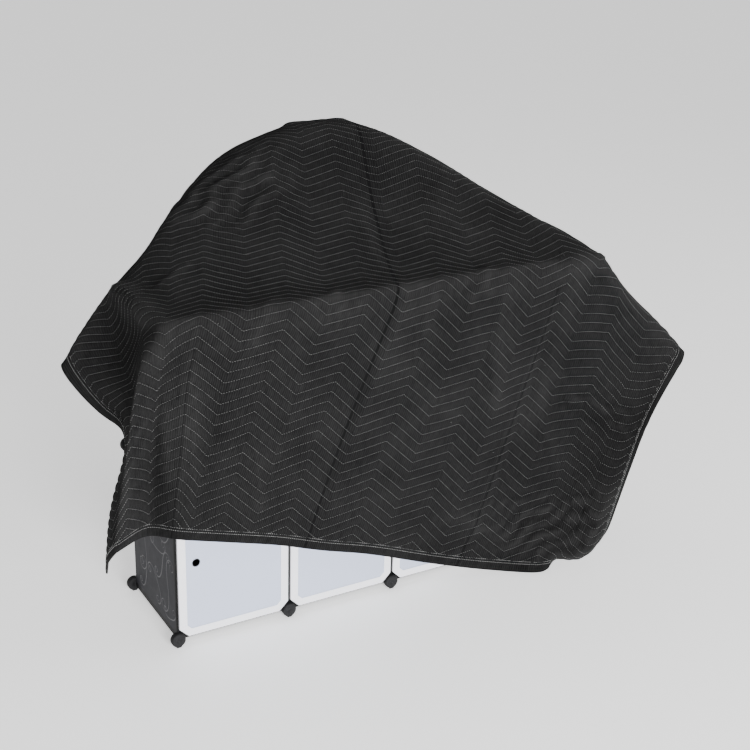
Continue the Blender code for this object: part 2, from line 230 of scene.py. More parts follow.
@dataclass
class Drape:
    """The middle surface of the hanging cloth, worked out on a grid of one centimetre."""

    corner: Vector
    pattern: QuiltPattern = field(default_factory=QuiltPattern)
    wrap: float = 2.7
    half_thick: float = 0.2
    cabinet_size: tuple = (130.0, 32.5, 88.46)
    stand_low: tuple = (74.0, 71.5, 0.0)
    stand_high: tuple = (91.0, 82.0, 114.46)
    smooth_passes: int = 10
    climb_shape: tuple = ((0.24, 0.0), (0.64, 0.38))
    bend_share: float = 0.45
    brow_reach: float = 5.5
    bend_steps: int = 8

    def __post_init__(self) -> None:
        """Work out the grid of points and of normals."""
        self.columns = np.arange(0.0, self.pattern.along + 0.5)
        self.rows = np.arange(0.0, self.pattern.deep + 0.5)
        grid = np.stack([self.rib_run(rib) for rib in self.ribs_at(self.columns)])
        grid = self.relax(self.keep_clear(grid), self.smooth_passes)
        grid += self.normals_of(grid) * self.crease_lift()[..., None]
        self.grid = self.relax(self.keep_clear(grid), 1)
        self.normals = self.normals_of(self.grid)

    def ribs_at(self, places: np.ndarray) -> np.ndarray:
        """Blend the table's ribs to any places along the front hem.

        Args:
            places: Centimetres along the front hem.

        Returns:
            One row of 23 numbers for each place: two lengths and seven stations.
        """
        knots = np.array([rib[0] for rib in RIBS], float)
        table = np.array([[*rib[1:3], *np.ravel(rib[3:])] for rib in RIBS], float)
        index = np.clip(np.searchsorted(knots, places, side="right") - 1, 0, len(knots) - 2)
        picks = [np.clip(index + step, 0, len(knots) - 1) for step in (-1, 0, 1, 2)]
        before, start, end, after = (table[pick] for pick in picks)
        t_before, t_start, t_end, t_after = (knots[pick][:, None] for pick in picks)
        span = t_end - t_start
        part = (places[:, None] - t_start) / span
        leave = (end - before) / (t_end - t_before) * span
        arrive = (after - start) / (t_after - t_start) * span
        square, cube = part**2, part**3
        return (start * (2 * cube - 3 * square + 1) + leave * (cube - 2 * square + part)
                + end * (3 * square - 2 * cube) + arrive * (cube - square))

    def rib_run(self, rib: np.ndarray) -> np.ndarray:
        """Follow one rib from the front hem to the back hem.

        Args:
            rib: The two lengths and the seven stations of the rib.

        Returns:
            One point for each row of the grid.
        """
        over, top = rib[:2]
        hem, foot, front, brow, ridge, back, tail = rib[2:].reshape(7, 3)
        climb = []
        for share, rise in self.climb_shape:
            point = brow + (ridge - brow) * share
            point[2] = brow[2] + (ridge[2] - brow[2]) * rise
            climb.append(point)
        stations = [hem, foot, front, brow, *climb, ridge, back, tail]
        points, marks = [hem], {}
        for number in range(1, len(stations) - 1):
            here = stations[number]
            behind, ahead = stations[number - 1] - here, stations[number + 1] - here
            reach = self.bend_share * min(np.linalg.norm(behind), np.linalg.norm(ahead))
            if number == 3:
                reach = min(reach, self.brow_reach)
            enter, leave = here + unit(behind) * reach, here + unit(ahead) * reach
            for part in np.linspace(0.0, 1.0, self.bend_steps + 1):
                first, second = enter + (here - enter) * part, here + (leave - here) * part
                points.append(first + (second - first) * part)
            marks[number] = len(points) - 1 - self.bend_steps // 2
        points = np.array([*points, tail])
        lengths = np.concatenate([[0.0], np.cumsum(np.linalg.norm(np.diff(points, axis=0), axis=1))])
        deeps = (0.0, over, top, self.pattern.deep)
        places = np.interp(self.rows, deeps, (0.0, lengths[marks[3]], lengths[marks[6]], lengths[-1]))
        return np.stack([np.interp(places, lengths, points[:, axis]) for axis in range(3)], axis=-1)

    def keep_off(self, grid: np.ndarray, low: tuple, high: tuple) -> np.ndarray:
        """Push points out of a box to a rounded skin around it.

        Args:
            grid: Points, in the last axis.
            low: The box's lowest corner.
            high: The box's highest corner.

        Returns:
            The points, none of them nearer to the box than the wrap.
        """
        low, high = np.array(low, float), np.array(high, float)
        nearest = np.clip(grid, low, high)
        away = grid - nearest
        length = np.linalg.norm(away, axis=-1, keepdims=True)
        outside = nearest + away / np.maximum(length, 1e-9) * np.maximum(length, self.wrap)
        depths = np.stack([grid[..., 0] - low[0], high[0] - grid[..., 0], grid[..., 1] - low[1],
                           high[1] - grid[..., 1], high[2] - grid[..., 2]], axis=-1)
        ways = np.array([(-1, 0, 0), (1, 0, 0), (0, -1, 0), (0, 1, 0), (0, 0, 1)], float)
        pick = depths.argmin(axis=-1)
        lifted = grid + ways[pick] * (np.take_along_axis(depths, pick[..., None], -1) + self.wrap)
        return np.where(length > 1e-9, outside, lifted)

    def keep_clear(self, grid: np.ndarray) -> np.ndarray:
        """Keep the cloth off the cabinet, the stand and the floor."""
        grid = self.keep_off(grid, (0.0, 0.0, 0.0), self.cabinet_size)
        grid = self.keep_off(grid, self.stand_low, self.stand_high)
        grid[..., 2] = np.maximum(grid[..., 2], self.half_thick + 0.15)
        return grid

    def relax(self, grid: np.ndarray, passes: int) -> np.ndarray:
        """Ease sharp bends by moving each point towards its neighbours, clear of what it lies on."""
        for _ in range(passes):
            eased = grid.copy()
            eased[1:-1] += 0.25 * (grid[:-2] + grid[2:] - 2 * grid[1:-1])
            eased[:, 1:-1] += 0.25 * (grid[:, :-2] + grid[:, 2:] - 2 * grid[:, 1:-1])
            grid = self.keep_clear(eased)
        return grid

    def normals_of(self, grid: np.ndarray) -> np.ndarray:
        """Return the outward normals of a grid of points."""
        return unit(np.cross(np.gradient(grid, axis=0), np.gradient(grid, axis=1)))

    def crease_lift(self) -> np.ndarray:
        """Return how far the folds, the wrinkles and a slow waviness lift each point of the grid."""
        along, deep = np.meshgrid(self.columns, self.rows, indexing="ij")
        total = 0.12 * np.sin(along / 9.0 + deep / 17.0) * np.sin(deep / 11.0 - along / 23.0)
        for start, end, height, width in WRINKLES:
            aside, part = self.across_line(along, deep, start, end)
            bow = 0.6 * width * np.sin(np.clip(part, 0.0, 1.0) * math.pi)
            total += height * self.faded(part) * np.exp(-(((aside - bow) / width) ** 2))
        for start, end, height, width in PACKING_FOLDS:
            aside, part = self.across_line(along, deep, start, end)
            total += height * self.faded(part) * np.exp(-np.abs(aside) / width)
        for middle, reach, degrees, wavelength, height in PUCKERS:
            offset_u, offset_v = along - middle[0], deep - middle[1]
            patch = np.exp(-((offset_u / reach[0]) ** 2) - (offset_v / reach[1]) ** 2)
            angle, turn = math.radians(degrees), math.tau / wavelength
            run = offset_u * math.cos(angle) + offset_v * math.sin(angle)
            aside = offset_v * math.cos(angle) - offset_u * math.sin(angle)
            wave = np.sin(turn * (aside + 0.30 * wavelength * np.sin(turn * run / 3.1 + middle[0])))
            total += height * patch * (wave + 0.4 * np.sin(turn * 0.47 * (aside + run) + middle[1]))
        return total

    def across_line(self, along: np.ndarray, deep: np.ndarray, start: tuple, end: tuple) -> tuple:
        """Measure places of the cloth against a line on it.

        Args:
            along: Centimetres from the left side hem.
            deep: Centimetres from the front hem.
            start: Where the line starts.
            end: Where it ends.

        Returns:
            How far each place lies beside the line, and its share of the way along it.
        """
        axis = np.subtract(end, start).astype(float)
        part = ((along - start[0]) * axis[0] + (deep - start[1]) * axis[1]) / axis.dot(axis)
        aside = ((along - start[0]) * axis[1] - (deep - start[1]) * axis[0]) / np.hypot(*axis)
        return aside, part

    def faded(self, part: np.ndarray) -> np.ndarray:
        """Return 1 along the middle of a line and 0 past its ends."""
        return smooth_step(part * 5.0) * smooth_step((1.0 - part) * 5.0)

    def at(self, along: np.ndarray, deep: np.ndarray) -> tuple[np.ndarray, np.ndarray]:
        """Read the surface at any places of the cloth.

        Args:
            along: Centimetres from the left side hem.
            deep: Centimetres from the front hem.

        Returns:
            The points and the outward normals, in centimetres.
        """
        along = np.clip(along, 0.0, self.columns[-1])
        deep = np.clip(deep, 0.0, self.rows[-1])
        first = np.clip(np.floor(along).astype(int), 0, len(self.columns) - 2)
        second = np.clip(np.floor(deep).astype(int), 0, len(self.rows) - 2)
        results = []
        for values in (self.grid, self.normals):
            result = 0.0
            for i, weight_i in enumerate(self.cubic(along - first)):
                column = np.clip(first + i - 1, 0, len(self.columns) - 1)
                for j, weight_j in enumerate(self.cubic(deep - second)):
                    row = np.clip(second + j - 1, 0, len(self.rows) - 1)
                    result = result + values[column, row] * (weight_i * weight_j)[..., None]
            results.append(result)
        return results[0], unit(results[1])

    def cubic(self, part: np.ndarray) -> list[np.ndarray]:
        """Return the four weights of a smooth curve through evenly spaced points."""
        square, cube = part**2, part**3
        return [(-part + 2 * square - cube) / 2, (2 - 5 * square + 3 * cube) / 2,
                (part + 4 * square - 3 * cube) / 2, (cube - square) / 2]

    def place(self, points: np.ndarray) -> np.ndarray:
        """Turn centimetres from the cabinet's corner into metres of the frame."""
        return points * CM + np.array(self.corner)


class NodeKit:
    """Short ways to build a shader from nodes."""

    def __init__(self, name: str, colour: tuple, roughness: float) -> None:
        """Start a material with one principled shader.

        Args:
            name: The material's name.
            colour: Linear red, green and blue.
            roughness: Plain roughness.
        """
        self.material = bpy.data.materials.new(name)
        self.material.use_nodes = True
        self.tree = self.material.node_tree
        self.shader = self.tree.nodes["Principled BSDF"]
        self.shader.inputs["Base Color"].default_value = (*colour, 1.0)
        self.shader.inputs["Roughness"].default_value = roughness
        self.material.diffuse_color = (*colour, 1.0)

    def node(self, kind: str, **settings: object) -> bpy.types.Node:
        """Add a node and set its plain settings."""
        made = self.tree.nodes.new(kind)
        for key, value in settings.items():
            setattr(made, key, value)
        return made

    def link(self, source: Socket, target: Socket) -> None:
        """Join two sockets."""
        self.tree.links.new(source, target)

    def feed(self, socket: Socket, value: object) -> None:
        """Give a socket another socket or a plain value."""
        if isinstance(value, Socket):
            self.link(value, socket)
        else:
            socket.default_value = value

    def math(self, operation: str, first: object, second: object = 0.0) -> Socket:
        """Add one step of arithmetic.

        Args:
            operation: The name of the operation.
            first: A socket or a number.
            second: A socket or a number.

        Returns:
            The socket that holds the answer.
        """
        made = self.node("ShaderNodeMath", operation=operation)
        self.feed(made.inputs[0], first)
        self.feed(made.inputs[1], second)
        return made.outputs[0]

    def total(self, parts: list, start: float) -> Socket:
        """Add sockets, each times its weight, to a starting value."""
        result = start
        for socket, weight in parts:
            result = self.math("ADD", result, self.math("MULTIPLY", socket, weight))
        return result

    def stretched(self, vector: object, scale: tuple) -> Socket:
        """Return coordinates that are scaled along each axis."""
        made = self.node("ShaderNodeMapping")
        self.feed(made.inputs["Vector"], vector)
        made.inputs["Scale"].default_value = scale
        return made.outputs[0]

    def attribute(self, name: str) -> Socket:
        """Return a mesh attribute's value."""
        return self.node("ShaderNodeAttribute", attribute_name=name).outputs["Fac"]

    def noise(self, vector: object, scale: float, detail: float = 3.0, rough: float = 0.55) -> Socket:
        """Add a noise pattern and return its strength."""
        made = self.node("ShaderNodeTexNoise")
        self.feed(made.inputs["Vector"], vector)
        made.inputs["Scale"].default_value = scale
        made.inputs["Detail"].default_value = detail
        made.inputs["Roughness"].default_value = rough
        return made.outputs["Fac"]

    def ramp(self, value: object, stops: list) -> Socket:
        """Turn a strength into a colour through a ramp of (place, grey or colour) stops."""
        made = self.node("ShaderNodeValToRGB")
        self.feed(made.inputs["Fac"], value)
        elements = made.color_ramp.elements
        while len(elements) < len(stops):
            elements.new(0.5)
        for element, (place, colour) in zip(elements, stops):
            element.position = place
            element.color = (*colour, 1.0) if isinstance(colour, tuple) else (colour, colour, colour, 1.0)
        return made.outputs["Color"]

    def mix(self, share: object, first: object, second: object, blend: str = "MIX") -> Socket:
        """Mix two colours."""
        made = self.node("ShaderNodeMix", data_type="RGBA", blend_type=blend)
        self.feed(made.inputs["Factor"], share)
        for socket, value in ((made.inputs[6], first), (made.inputs[7], second)):
            self.feed(socket, (*value, 1.0) if isinstance(value, tuple) else value)
        return made.outputs[2]

    def bump(self, height: object, strength: float, distance: float, under: object = None) -> Socket:
        """Add a bump and return its normal."""
        made = self.node("ShaderNodeBump")
        made.inputs["Strength"].default_value = strength
        made.inputs["Distance"].default_value = distance
        self.feed(made.inputs["Height"], height)
        if under is not None:
            self.link(under, made.inputs["Normal"])
        return made.outputs["Normal"]

    def object_coordinates(self) -> Socket:
        """Return the object's own coordinates."""
        return self.node("ShaderNodeTexCoord").outputs["Object"]


@dataclass(frozen=True)
class PadCloth:
    """Charcoal quilted cloth: a fine basket weave, crests and swells painted paler for rubbing and painted
    highlight, painted shade along the packing folds, lint, and lines of stitching underneath.
    """

    pattern: QuiltPattern
    dark: tuple = (0.0060, 0.0060, 0.0062)
    # The paler colour stands for rubbed cloth and for painted highlight.
    rubbed_and_lit: tuple = (0.027, 0.027, 0.027)
    thread: tuple = (0.20, 0.20, 0.20)
    lint: tuple = (0.55, 0.55, 0.54)
    weave_pitch: float = 0.26
    rib_pitch: float = 0.62
    # Packing folds with a thin line of painted shade in their creases: the place along, the strength and how
    # deep the line runs.
    fold_shade_lines: tuple = ((98.8, 2.8, 183.0), (152.2, 1.3, 92.0), (47.8, 1.0, 54.0))
    fold_shade_width: float = 0.55
    fold_shade_gap: float = 0.15
    slub_scale: float = 2.4
    streak_stretch: tuple = (1.7, 0.3, 1.0)
    cloud_scale: float = 0.045
    level: float = -1.0
    # Weights towards the paler colour of the slub, the streak, the cloud, the channels' swell, the outward
    # bends, the weave and the rib; the swell and the bends carry painted highlight along with rubbing.
    weights: tuple = (0.60, 0.90, 0.90, 0.16, 0.55, 0.10, 0.22)
    lint_cells: float = 0.16
    lint_size: float = 0.012
    lint_share: float = 0.7
    rough: tuple = (0.88, 0.10)
    sheen: float = 0.004

    def make(self) -> Material:
        """Build the material. Its pattern reads the flat cloth's own map, in centimetres."""
        kit = NodeKit("pad cloth", self.dark, 0.93)
        flat = kit.node("ShaderNodeUVMap", uv_map="cloth").outputs["UV"]
        split = kit.node("ShaderNodeSeparateXYZ")
        kit.link(flat, split.inputs[0])
        along = kit.math("MULTIPLY", split.outputs["X"], self.pattern.along)
        deep = kit.math("MULTIPLY", split.outputs["Y"], self.pattern.deep)
        joined = kit.node("ShaderNodeCombineXYZ")
        kit.link(along, joined.inputs[0])
        kit.link(deep, joined.inputs[1])
        place = joined.outputs[0]
        turn = math.tau / self.weave_pitch
        warp = kit.math("SINE", kit.math("MULTIPLY", along, turn))
        weft = kit.math("SINE", kit.math("MULTIPLY", deep, turn))
        weave = kit.math("MULTIPLY", warp, weft)
        rib = kit.math("SINE", kit.math("MULTIPLY", along, math.tau / self.rib_pitch))
        slub = kit.noise(place, self.slub_scale, 4.0, 0.75)
        streak = kit.noise(kit.stretched(place, self.streak_stretch), 1.0, 3.0, 0.6)
        cloud = kit.noise(place, self.cloud_scale, 4.0, 0.6)
        layers = (slub, streak, cloud, kit.attribute("puff"), kit.attribute("crest"), weave, rib)
        # Rubbing and random tone, with painted highlight on the swells and the outward bends.
        rubbing_and_painted_light = kit.total(list(zip(layers, self.weights)), self.level)
        # Painted shade along the packing folds.
        rubbing_and_painted_light = self.painted_fold_shade(kit, rubbing_and_painted_light, along, deep, streak)
        clamped = kit.node("ShaderNodeClamp")
        kit.link(rubbing_and_painted_light, clamped.inputs["Value"])
        cloth = kit.mix(clamped.outputs[0], self.dark, self.rubbed_and_lit)
        stitched = kit.math("MULTIPLY", kit.attribute("underside"), self.underside_line(kit, along, deep))
        cloth = kit.mix(stitched, cloth, self.thread)
        cells = kit.node("ShaderNodeTexVoronoi", feature="F1")
        kit.link(place, cells.inputs["Vector"])
        cells.inputs["Scale"].default_value = self.lint_cells
        speck = kit.math("LESS_THAN", cells.outputs["Distance"], self.lint_size)
        linted = kit.mix(kit.math("MULTIPLY", speck, self.lint_share), cloth, self.lint)
        kit.link(linted, kit.shader.inputs["Base Color"])
        smoothest, spread = self.rough
        kit.link(kit.total([(slub, spread)], smoothest), kit.shader.inputs["Roughness"])
        fine = kit.bump(kit.total([(weave, 0.5), (streak, 0.9)], 0.0), 0.55, 0.0009)
        drawn = kit.bump(self.pucker(kit, along, deep, place), 0.6, 0.0035, fine)
        kit.link(drawn, kit.shader.inputs["Normal"])
        kit.shader.inputs["Sheen Weight"].default_value = self.sheen
        kit.shader.inputs["Sheen Roughness"].default_value = 0.55
        kit.shader.inputs["Specular IOR Level"].default_value = 0.05
        kit.shader.inputs["Diffuse Roughness"].default_value = 0.8
        return kit.material

    def painted_fold_shade(self, kit: NodeKit, rubbing_and_painted_light: object, along: object, deep: object, streak: object) -> Socket:
        """Paint thin, uneven lines of shade along the packing folds, darkening the cloth in their creases."""
        for middle, strength, last in self.fold_shade_lines:
            beside = kit.math("ABSOLUTE", kit.math("SUBTRACT", along, middle))
            near = kit.math("SUBTRACT", 1.0, kit.math("DIVIDE", beside, self.fold_shade_width))
            uneven = kit.math("MULTIPLY", kit.math("ADD", streak, -self.fold_shade_gap), strength)
            uneven = kit.math("MULTIPLY", uneven, kit.math("LESS_THAN", deep, last))
            rubbing_and_painted_light = kit.math("SUBTRACT", rubbing_and_painted_light, kit.math("MULTIPLY", kit.math("MAXIMUM", near, 0.0), uneven))
        return rubbing_and_painted_light

    def line_phase(self, kit: NodeKit, along: object, deep: object) -> Socket:
        """Return how far a place lies from one stitched line towards the next, from 0 to 1."""
        phase = kit.math("DIVIDE", kit.math("SUBTRACT", along, self.pattern.first_peak), self.pattern.period)
        turned = kit.math("SUBTRACT", kit.math("MULTIPLY", kit.math("FRACT", phase), 2.0), 1.0)
        fold = kit.math("ABSOLUTE", turned)
        drop = kit.math("MULTIPLY", kit.math("SUBTRACT", 1.0, fold), self.pattern.height)
        shifted = kit.math("SUBTRACT", kit.math("ADD", deep, drop), self.pattern.first_line)
        return kit.math("FRACT", kit.math("DIVIDE", shifted, self.pattern.pitch))

    def underside_line(self, kit: NodeKit, along: object, deep: object) -> Socket:
        """Return 1 on the stitches that show on the underside."""
        centred = kit.math("ABSOLUTE", kit.math("SUBTRACT", self.line_phase(kit, along, deep), 0.5))
        line = kit.math("GREATER_THAN", centred, 0.472)
        dash = kit.math("GREATER_THAN", kit.math("FRACT", kit.math("DIVIDE", along, 0.6)), 0.22)
        return kit.math("MULTIPLY", line, dash)

    def pucker(self, kit: NodeKit, along: object, deep: object, place: object) -> Socket:
        """Return small drawn-in wrinkles that run across the channels, strongest near the stitching."""
        ripple = kit.noise(kit.stretched(place, (1.0, 0.3, 1.0)), 0.85, 2.0, 0.5)
        centred = kit.math("ABSOLUTE", kit.math("SUBTRACT", self.line_phase(kit, along, deep), 0.5))
        near = kit.math("POWER", kit.math("MULTIPLY", centred, 2.0), 1.6)
        return kit.math("MULTIPLY", ripple, kit.math("ADD", near, 0.35))


@dataclass(frozen=True)
class Thread:
    """Pale twisted cotton thread."""

    name: str = "pale thread"
    colour: tuple = (0.19, 0.19, 0.187)
    shade: tuple = (0.09, 0.09, 0.09)

    def make(self) -> Material:
        """Build the material, a little uneven from stitch to stitch."""
        kit = NodeKit(self.name, self.colour, 0.8)
        place = kit.object_coordinates()
        tone = kit.noise(place, 60.0, 2.0)
        kit.link(kit.mix(kit.ramp(tone, [(0.35, 0.0), (0.65, 1.0)]), self.shade, self.colour),
                 kit.shader.inputs["Base Color"])
        kit.link(kit.bump(kit.noise(place, 1500.0, 1.0), 0.3, 0.0003), kit.shader.inputs["Normal"])
        kit.shader.inputs["Sheen Weight"].default_value = 0.2
        return kit.material


@dataclass(frozen=True)
class MouldedPlastic:
    """Thin moulded plastic with a fine grain and light handling marks."""

    name: str
    colour: tuple
    roughness: float = 0.45
    grain: float = 900.0
    depth: float = 0.00012
    marks: float = 0.12
    gloss: float = 0.5

    def make(self) -> Material:
        """Build the material."""
        kit = NodeKit(self.name, self.colour, self.roughness)
        place = kit.object_coordinates()
        cloud = kit.noise(place, 9.0, 4.0)
        darker = tuple(value * (1.0 - self.marks) for value in self.colour)
        lighter = tuple(min(1.0, value * (1.0 + self.marks)) for value in self.colour)
        kit.link(kit.mix(cloud, darker, lighter), kit.shader.inputs["Base Color"])
        scuffs = kit.noise(place, 38.0, 5.0, 0.7)
        kit.link(kit.math("ADD", kit.math("MULTIPLY", scuffs, 0.22), self.roughness - 0.11),
                 kit.shader.inputs["Roughness"])
        kit.link(kit.bump(kit.noise(place, self.grain, 2.0), 0.35, self.depth), kit.shader.inputs["Normal"])
        kit.shader.inputs["Specular IOR Level"].default_value = self.gloss
        return kit.material


@dataclass(frozen=True)
class Fibreboard:
    """Plain pressed board with long pale fibres."""

    colour: tuple = (0.36, 0.26, 0.16)
    shade: tuple = (0.24, 0.165, 0.10)

    def make(self) -> Material:
        """Build the material."""
        kit = NodeKit("plain board", self.colour, 0.78)
        fibre = kit.noise(kit.stretched(kit.object_coordinates(), (1.0, 1.0, 0.08)), 160.0, 5.0, 0.65)
        kit.link(kit.mix(fibre, self.shade, self.colour), kit.shader.inputs["Base Color"])
        kit.link(kit.bump(fibre, 0.4, 0.0005), kit.shader.inputs["Normal"])
        return kit.material


def new_mesh(name: str, points: np.ndarray, faces: list) -> Mesh:
    """Make a mesh from points in metres and lists of corners."""
    mesh = bpy.data.meshes.new(name)
    mesh.from_pydata([tuple(point) for point in points], [], faces)
    mesh.validate()
    return mesh


def new_piece(name: str, mesh: Mesh, finish: Material) -> bpy.types.Object:
    """Put a finished mesh into the scene, on the part's one body.

    Args:
        name: The piece's name.
        mesh: Its mesh, in the frame's place.
        finish: Its material.

    Returns:
        The object.
    """
    if not mesh.materials:
        mesh.materials.append(finish)
    piece = bpy.data.objects.new(name, mesh)
    bpy.context.scene.collection.objects.link(piece)
    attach(piece, ROOT)
    LOG.info("%s: %d faces", name, len(mesh.polygons))
    return piece


def skinned_mesh(name: str, loops: list, smooth: bool = True) -> Mesh:
    """Join rings of points into a closed mesh, with a flat face on both ends.

    Args:
        name: The mesh's name.
        loops: Rings of equally many points, from one end to the other.
        smooth: Whether it is shaded smooth.

    Returns:
        The mesh: the faces between the rings, then the last end and the first.
    """
    shape = bmesh.new()
    rings = [[shape.verts.new(point) for point in loop] for loop in loops]
    for outer, inner in zip(rings, rings[1:]):
        for side, after in enumerate([*range(1, len(outer)), 0]):
            shape.faces.new((outer[side], outer[after], inner[after], inner[side]))
    shape.faces.new(rings[-1])
    shape.faces.new(rings[0][::-1])
    return finished_mesh(name, shape, smooth)


def finished_mesh(name: str, shape: bmesh.types.BMesh, smooth: bool = False) -> Mesh:
    """Turn a shape's faces outwards and return it as a mesh."""
    bmesh.ops.recalc_face_normals(shape, faces=shape.faces[:])
    mesh = bpy.data.meshes.new(name)
    shape.to_mesh(mesh)
    shape.free()
    if smooth:
        mesh.shade_smooth()
    return mesh


def dress_node(node: str, finish: Material) -> None:
    """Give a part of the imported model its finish."""
    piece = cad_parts[node]
    if not piece.material_slots:
        piece.data.materials.append(finish)
    for held in piece.material_slots:
        held.material = finish


def group_tree(name: str, inputs: dict) -> tuple:
    """Start a Geometry Nodes tree that takes geometry and some labelled inputs.

    Args:
        name: The tree's name.
        inputs: The kind of socket of each label.

    Returns:
        The tree, its input node and its output node.
    """
    tree = bpy.data.node_groups.new(name, "GeometryNodeTree")
    tree.interface.new_socket("Geometry", in_out="INPUT", socket_type="NodeSocketGeometry")
    for label, kind in inputs.items():
        tree.interface.new_socket(label, in_out="INPUT", socket_type=f"NodeSocket{kind}")
    tree.interface.new_socket("Geometry", in_out="OUTPUT", socket_type="NodeSocketGeometry")
    return tree, tree.nodes.new("NodeGroupInput"), tree.nodes.new("NodeGroupOutput")


def grown_mesh(name: str, start: Mesh, tree: bpy.types.NodeTree, values: dict) -> Mesh:
    """Run a Geometry Nodes tree on a mesh.

    Args:
        name: The new mesh's name.
        start: The mesh that goes in. It is removed afterwards.
        tree: The tree.
        values: Its inputs by their labels.

    Returns:
        A plain mesh of the result.
    """
    carrier = bpy.data.objects.new(start.name, start)
    bpy.context.scene.collection.objects.link(carrier)
    modifier = carrier.modifiers.new(tree.name, "NODES")
    modifier.node_group = tree
    for item in tree.interface.items_tree:
        if item.in_out == "INPUT" and item.name in values:
            modifier[item.identifier] = values[item.name]
    bpy.context.view_layer.update()
    evaluated = carrier.evaluated_get(bpy.context.evaluated_depsgraph_get())
    mesh = bpy.data.meshes.new_from_object(evaluated)
    carrier.modifiers.remove(modifier)
    bpy.data.objects.remove(carrier)
    bpy.data.meshes.remove(start)
    mesh.name = name
    return mesh


class StitchRun:
    """Geometry Nodes that lay stitches along sewing lines."""

    def __init__(self, spacing: float, length: float, width: float) -> None:
        """Keep the sizes of one kind of stitch.

        Args:
            spacing: From one stitch to the next, in metres.
            length: Length of a stitch, in metres.
            width: Width of the thread, in metres.
        """
        self.values = {"Spacing": spacing, "Length": length, "Width": width}
        self.tree = self.build()

    def build(self) -> bpy.types.NodeTree:
        """Build the tree: lines to curves, a stitch on each step, realised and given its material."""
        kinds = {**{label: "Float" for label in self.values}, "Thread": "Material"}
        tree, start, end = group_tree("stitch run", kinds)
        nodes = tree.nodes
        curves = nodes.new("GeometryNodeMeshToCurve")
        steps = nodes.new("GeometryNodeResampleCurve")
        steps.mode = "LENGTH"
        tangent = nodes.new("GeometryNodeInputTangent")
        align = nodes.new("FunctionNodeAlignRotationToVector")
        align.axis = "Z"
        grain = nodes.new("GeometryNodeMeshUVSphere")
        grain.inputs["Segments"].default_value = 4
        grain.inputs["Rings"].default_value = 2
        grain.inputs["Radius"].default_value = 0.5
        size = nodes.new("ShaderNodeCombineXYZ")
        place = nodes.new("GeometryNodeInstanceOnPoints")
        real = nodes.new("GeometryNodeRealizeInstances")
        finish = nodes.new("GeometryNodeSetMaterial")
        for source, target in (
            (start.outputs["Geometry"], curves.inputs[0]),
            (curves.outputs[0], steps.inputs["Curve"]),
            (start.outputs["Spacing"], steps.inputs["Length"]),
            (tangent.outputs[0], align.inputs["Vector"]),
            (start.outputs["Width"], size.inputs[0]),
            (start.outputs["Width"], size.inputs[1]),
            (start.outputs["Length"], size.inputs[2]),
            (steps.outputs[0], place.inputs["Points"]),
            (grain.outputs["Mesh"], place.inputs["Instance"]),
            (align.outputs[0], place.inputs["Rotation"]),
            (size.outputs[0], place.inputs["Scale"]),
            (place.outputs[0], real.inputs[0]),
            (real.outputs[0], finish.inputs["Geometry"]),
            (start.outputs["Thread"], finish.inputs["Material"]),
            (finish.outputs[0], end.inputs[0]),
        ):
            tree.links.new(source, target)
        return tree

    def sew(self, name: str, runs: list, thread: Material) -> Mesh:
        """Sew along lines of points.

        Args:
            name: The mesh's name.
            runs: Arrays of points in metres, one for each sewing line.
            thread: The material of the stitches.

        Returns:
            A plain mesh of all the stitches.
        """
        edges, total = [], 0
        for run in runs:
            edges += [(total + step, total + step + 1) for step in range(len(run) - 1)]
            total += len(run)
        lines = bpy.data.meshes.new(name + " lines")
        lines.from_pydata([tuple(point) for point in np.concatenate(runs)], edges, [])
        return grown_mesh(name, lines, self.tree, {**self.values, "Thread": thread})


class ShapeSpread:
    """Geometry Nodes that put one shape on each of many points."""

    def __init__(self) -> None:
        """Build the tree: the shape on every point, realised and given its material."""
        kinds = {"Shape": "Object", "Size": "Float", "Finish": "Material"}
        tree, start, end = group_tree("shape spread", kinds)
        nodes = tree.nodes
        shape = nodes.new("GeometryNodeObjectInfo")
        shape.inputs["As Instance"].default_value = True
        place = nodes.new("GeometryNodeInstanceOnPoints")
        real = nodes.new("GeometryNodeRealizeInstances")
        finish = nodes.new("GeometryNodeSetMaterial")
        for source, target in (
            (start.outputs["Geometry"], place.inputs["Points"]),
            (start.outputs["Shape"], shape.inputs["Object"]),
            (shape.outputs["Geometry"], place.inputs["Instance"]),
            (start.outputs["Size"], place.inputs["Scale"]),
            (place.outputs[0], real.inputs[0]),
            (real.outputs[0], finish.inputs["Geometry"]),
            (start.outputs["Finish"], finish.inputs["Material"]),
            (finish.outputs[0], end.inputs[0]),
        ):
            tree.links.new(source, target)
        self.tree = tree

    def spread(self, name: str, shape: Mesh, places: list, finish: Material) -> Mesh:
        """Put copies of a shape on points.

        Args:
            name: The new mesh's name.
            shape: The shape, about its own middle.
            places: Points in metres.
            finish: The material.

        Returns:
            A plain mesh of all the copies.
        """
        points = bpy.data.meshes.new(name + " places")
        points.from_pydata([tuple(place) for place in places], [], [])
        pattern = bpy.data.objects.new(name + " shape", shape)
        bpy.context.scene.collection.objects.link(pattern)
        mesh = grown_mesh(name, points, self.tree, {"Shape": pattern, "Size": 1.0, "Finish": finish})
        bpy.data.objects.remove(pattern)
        bpy.data.meshes.remove(shape)
        return mesh


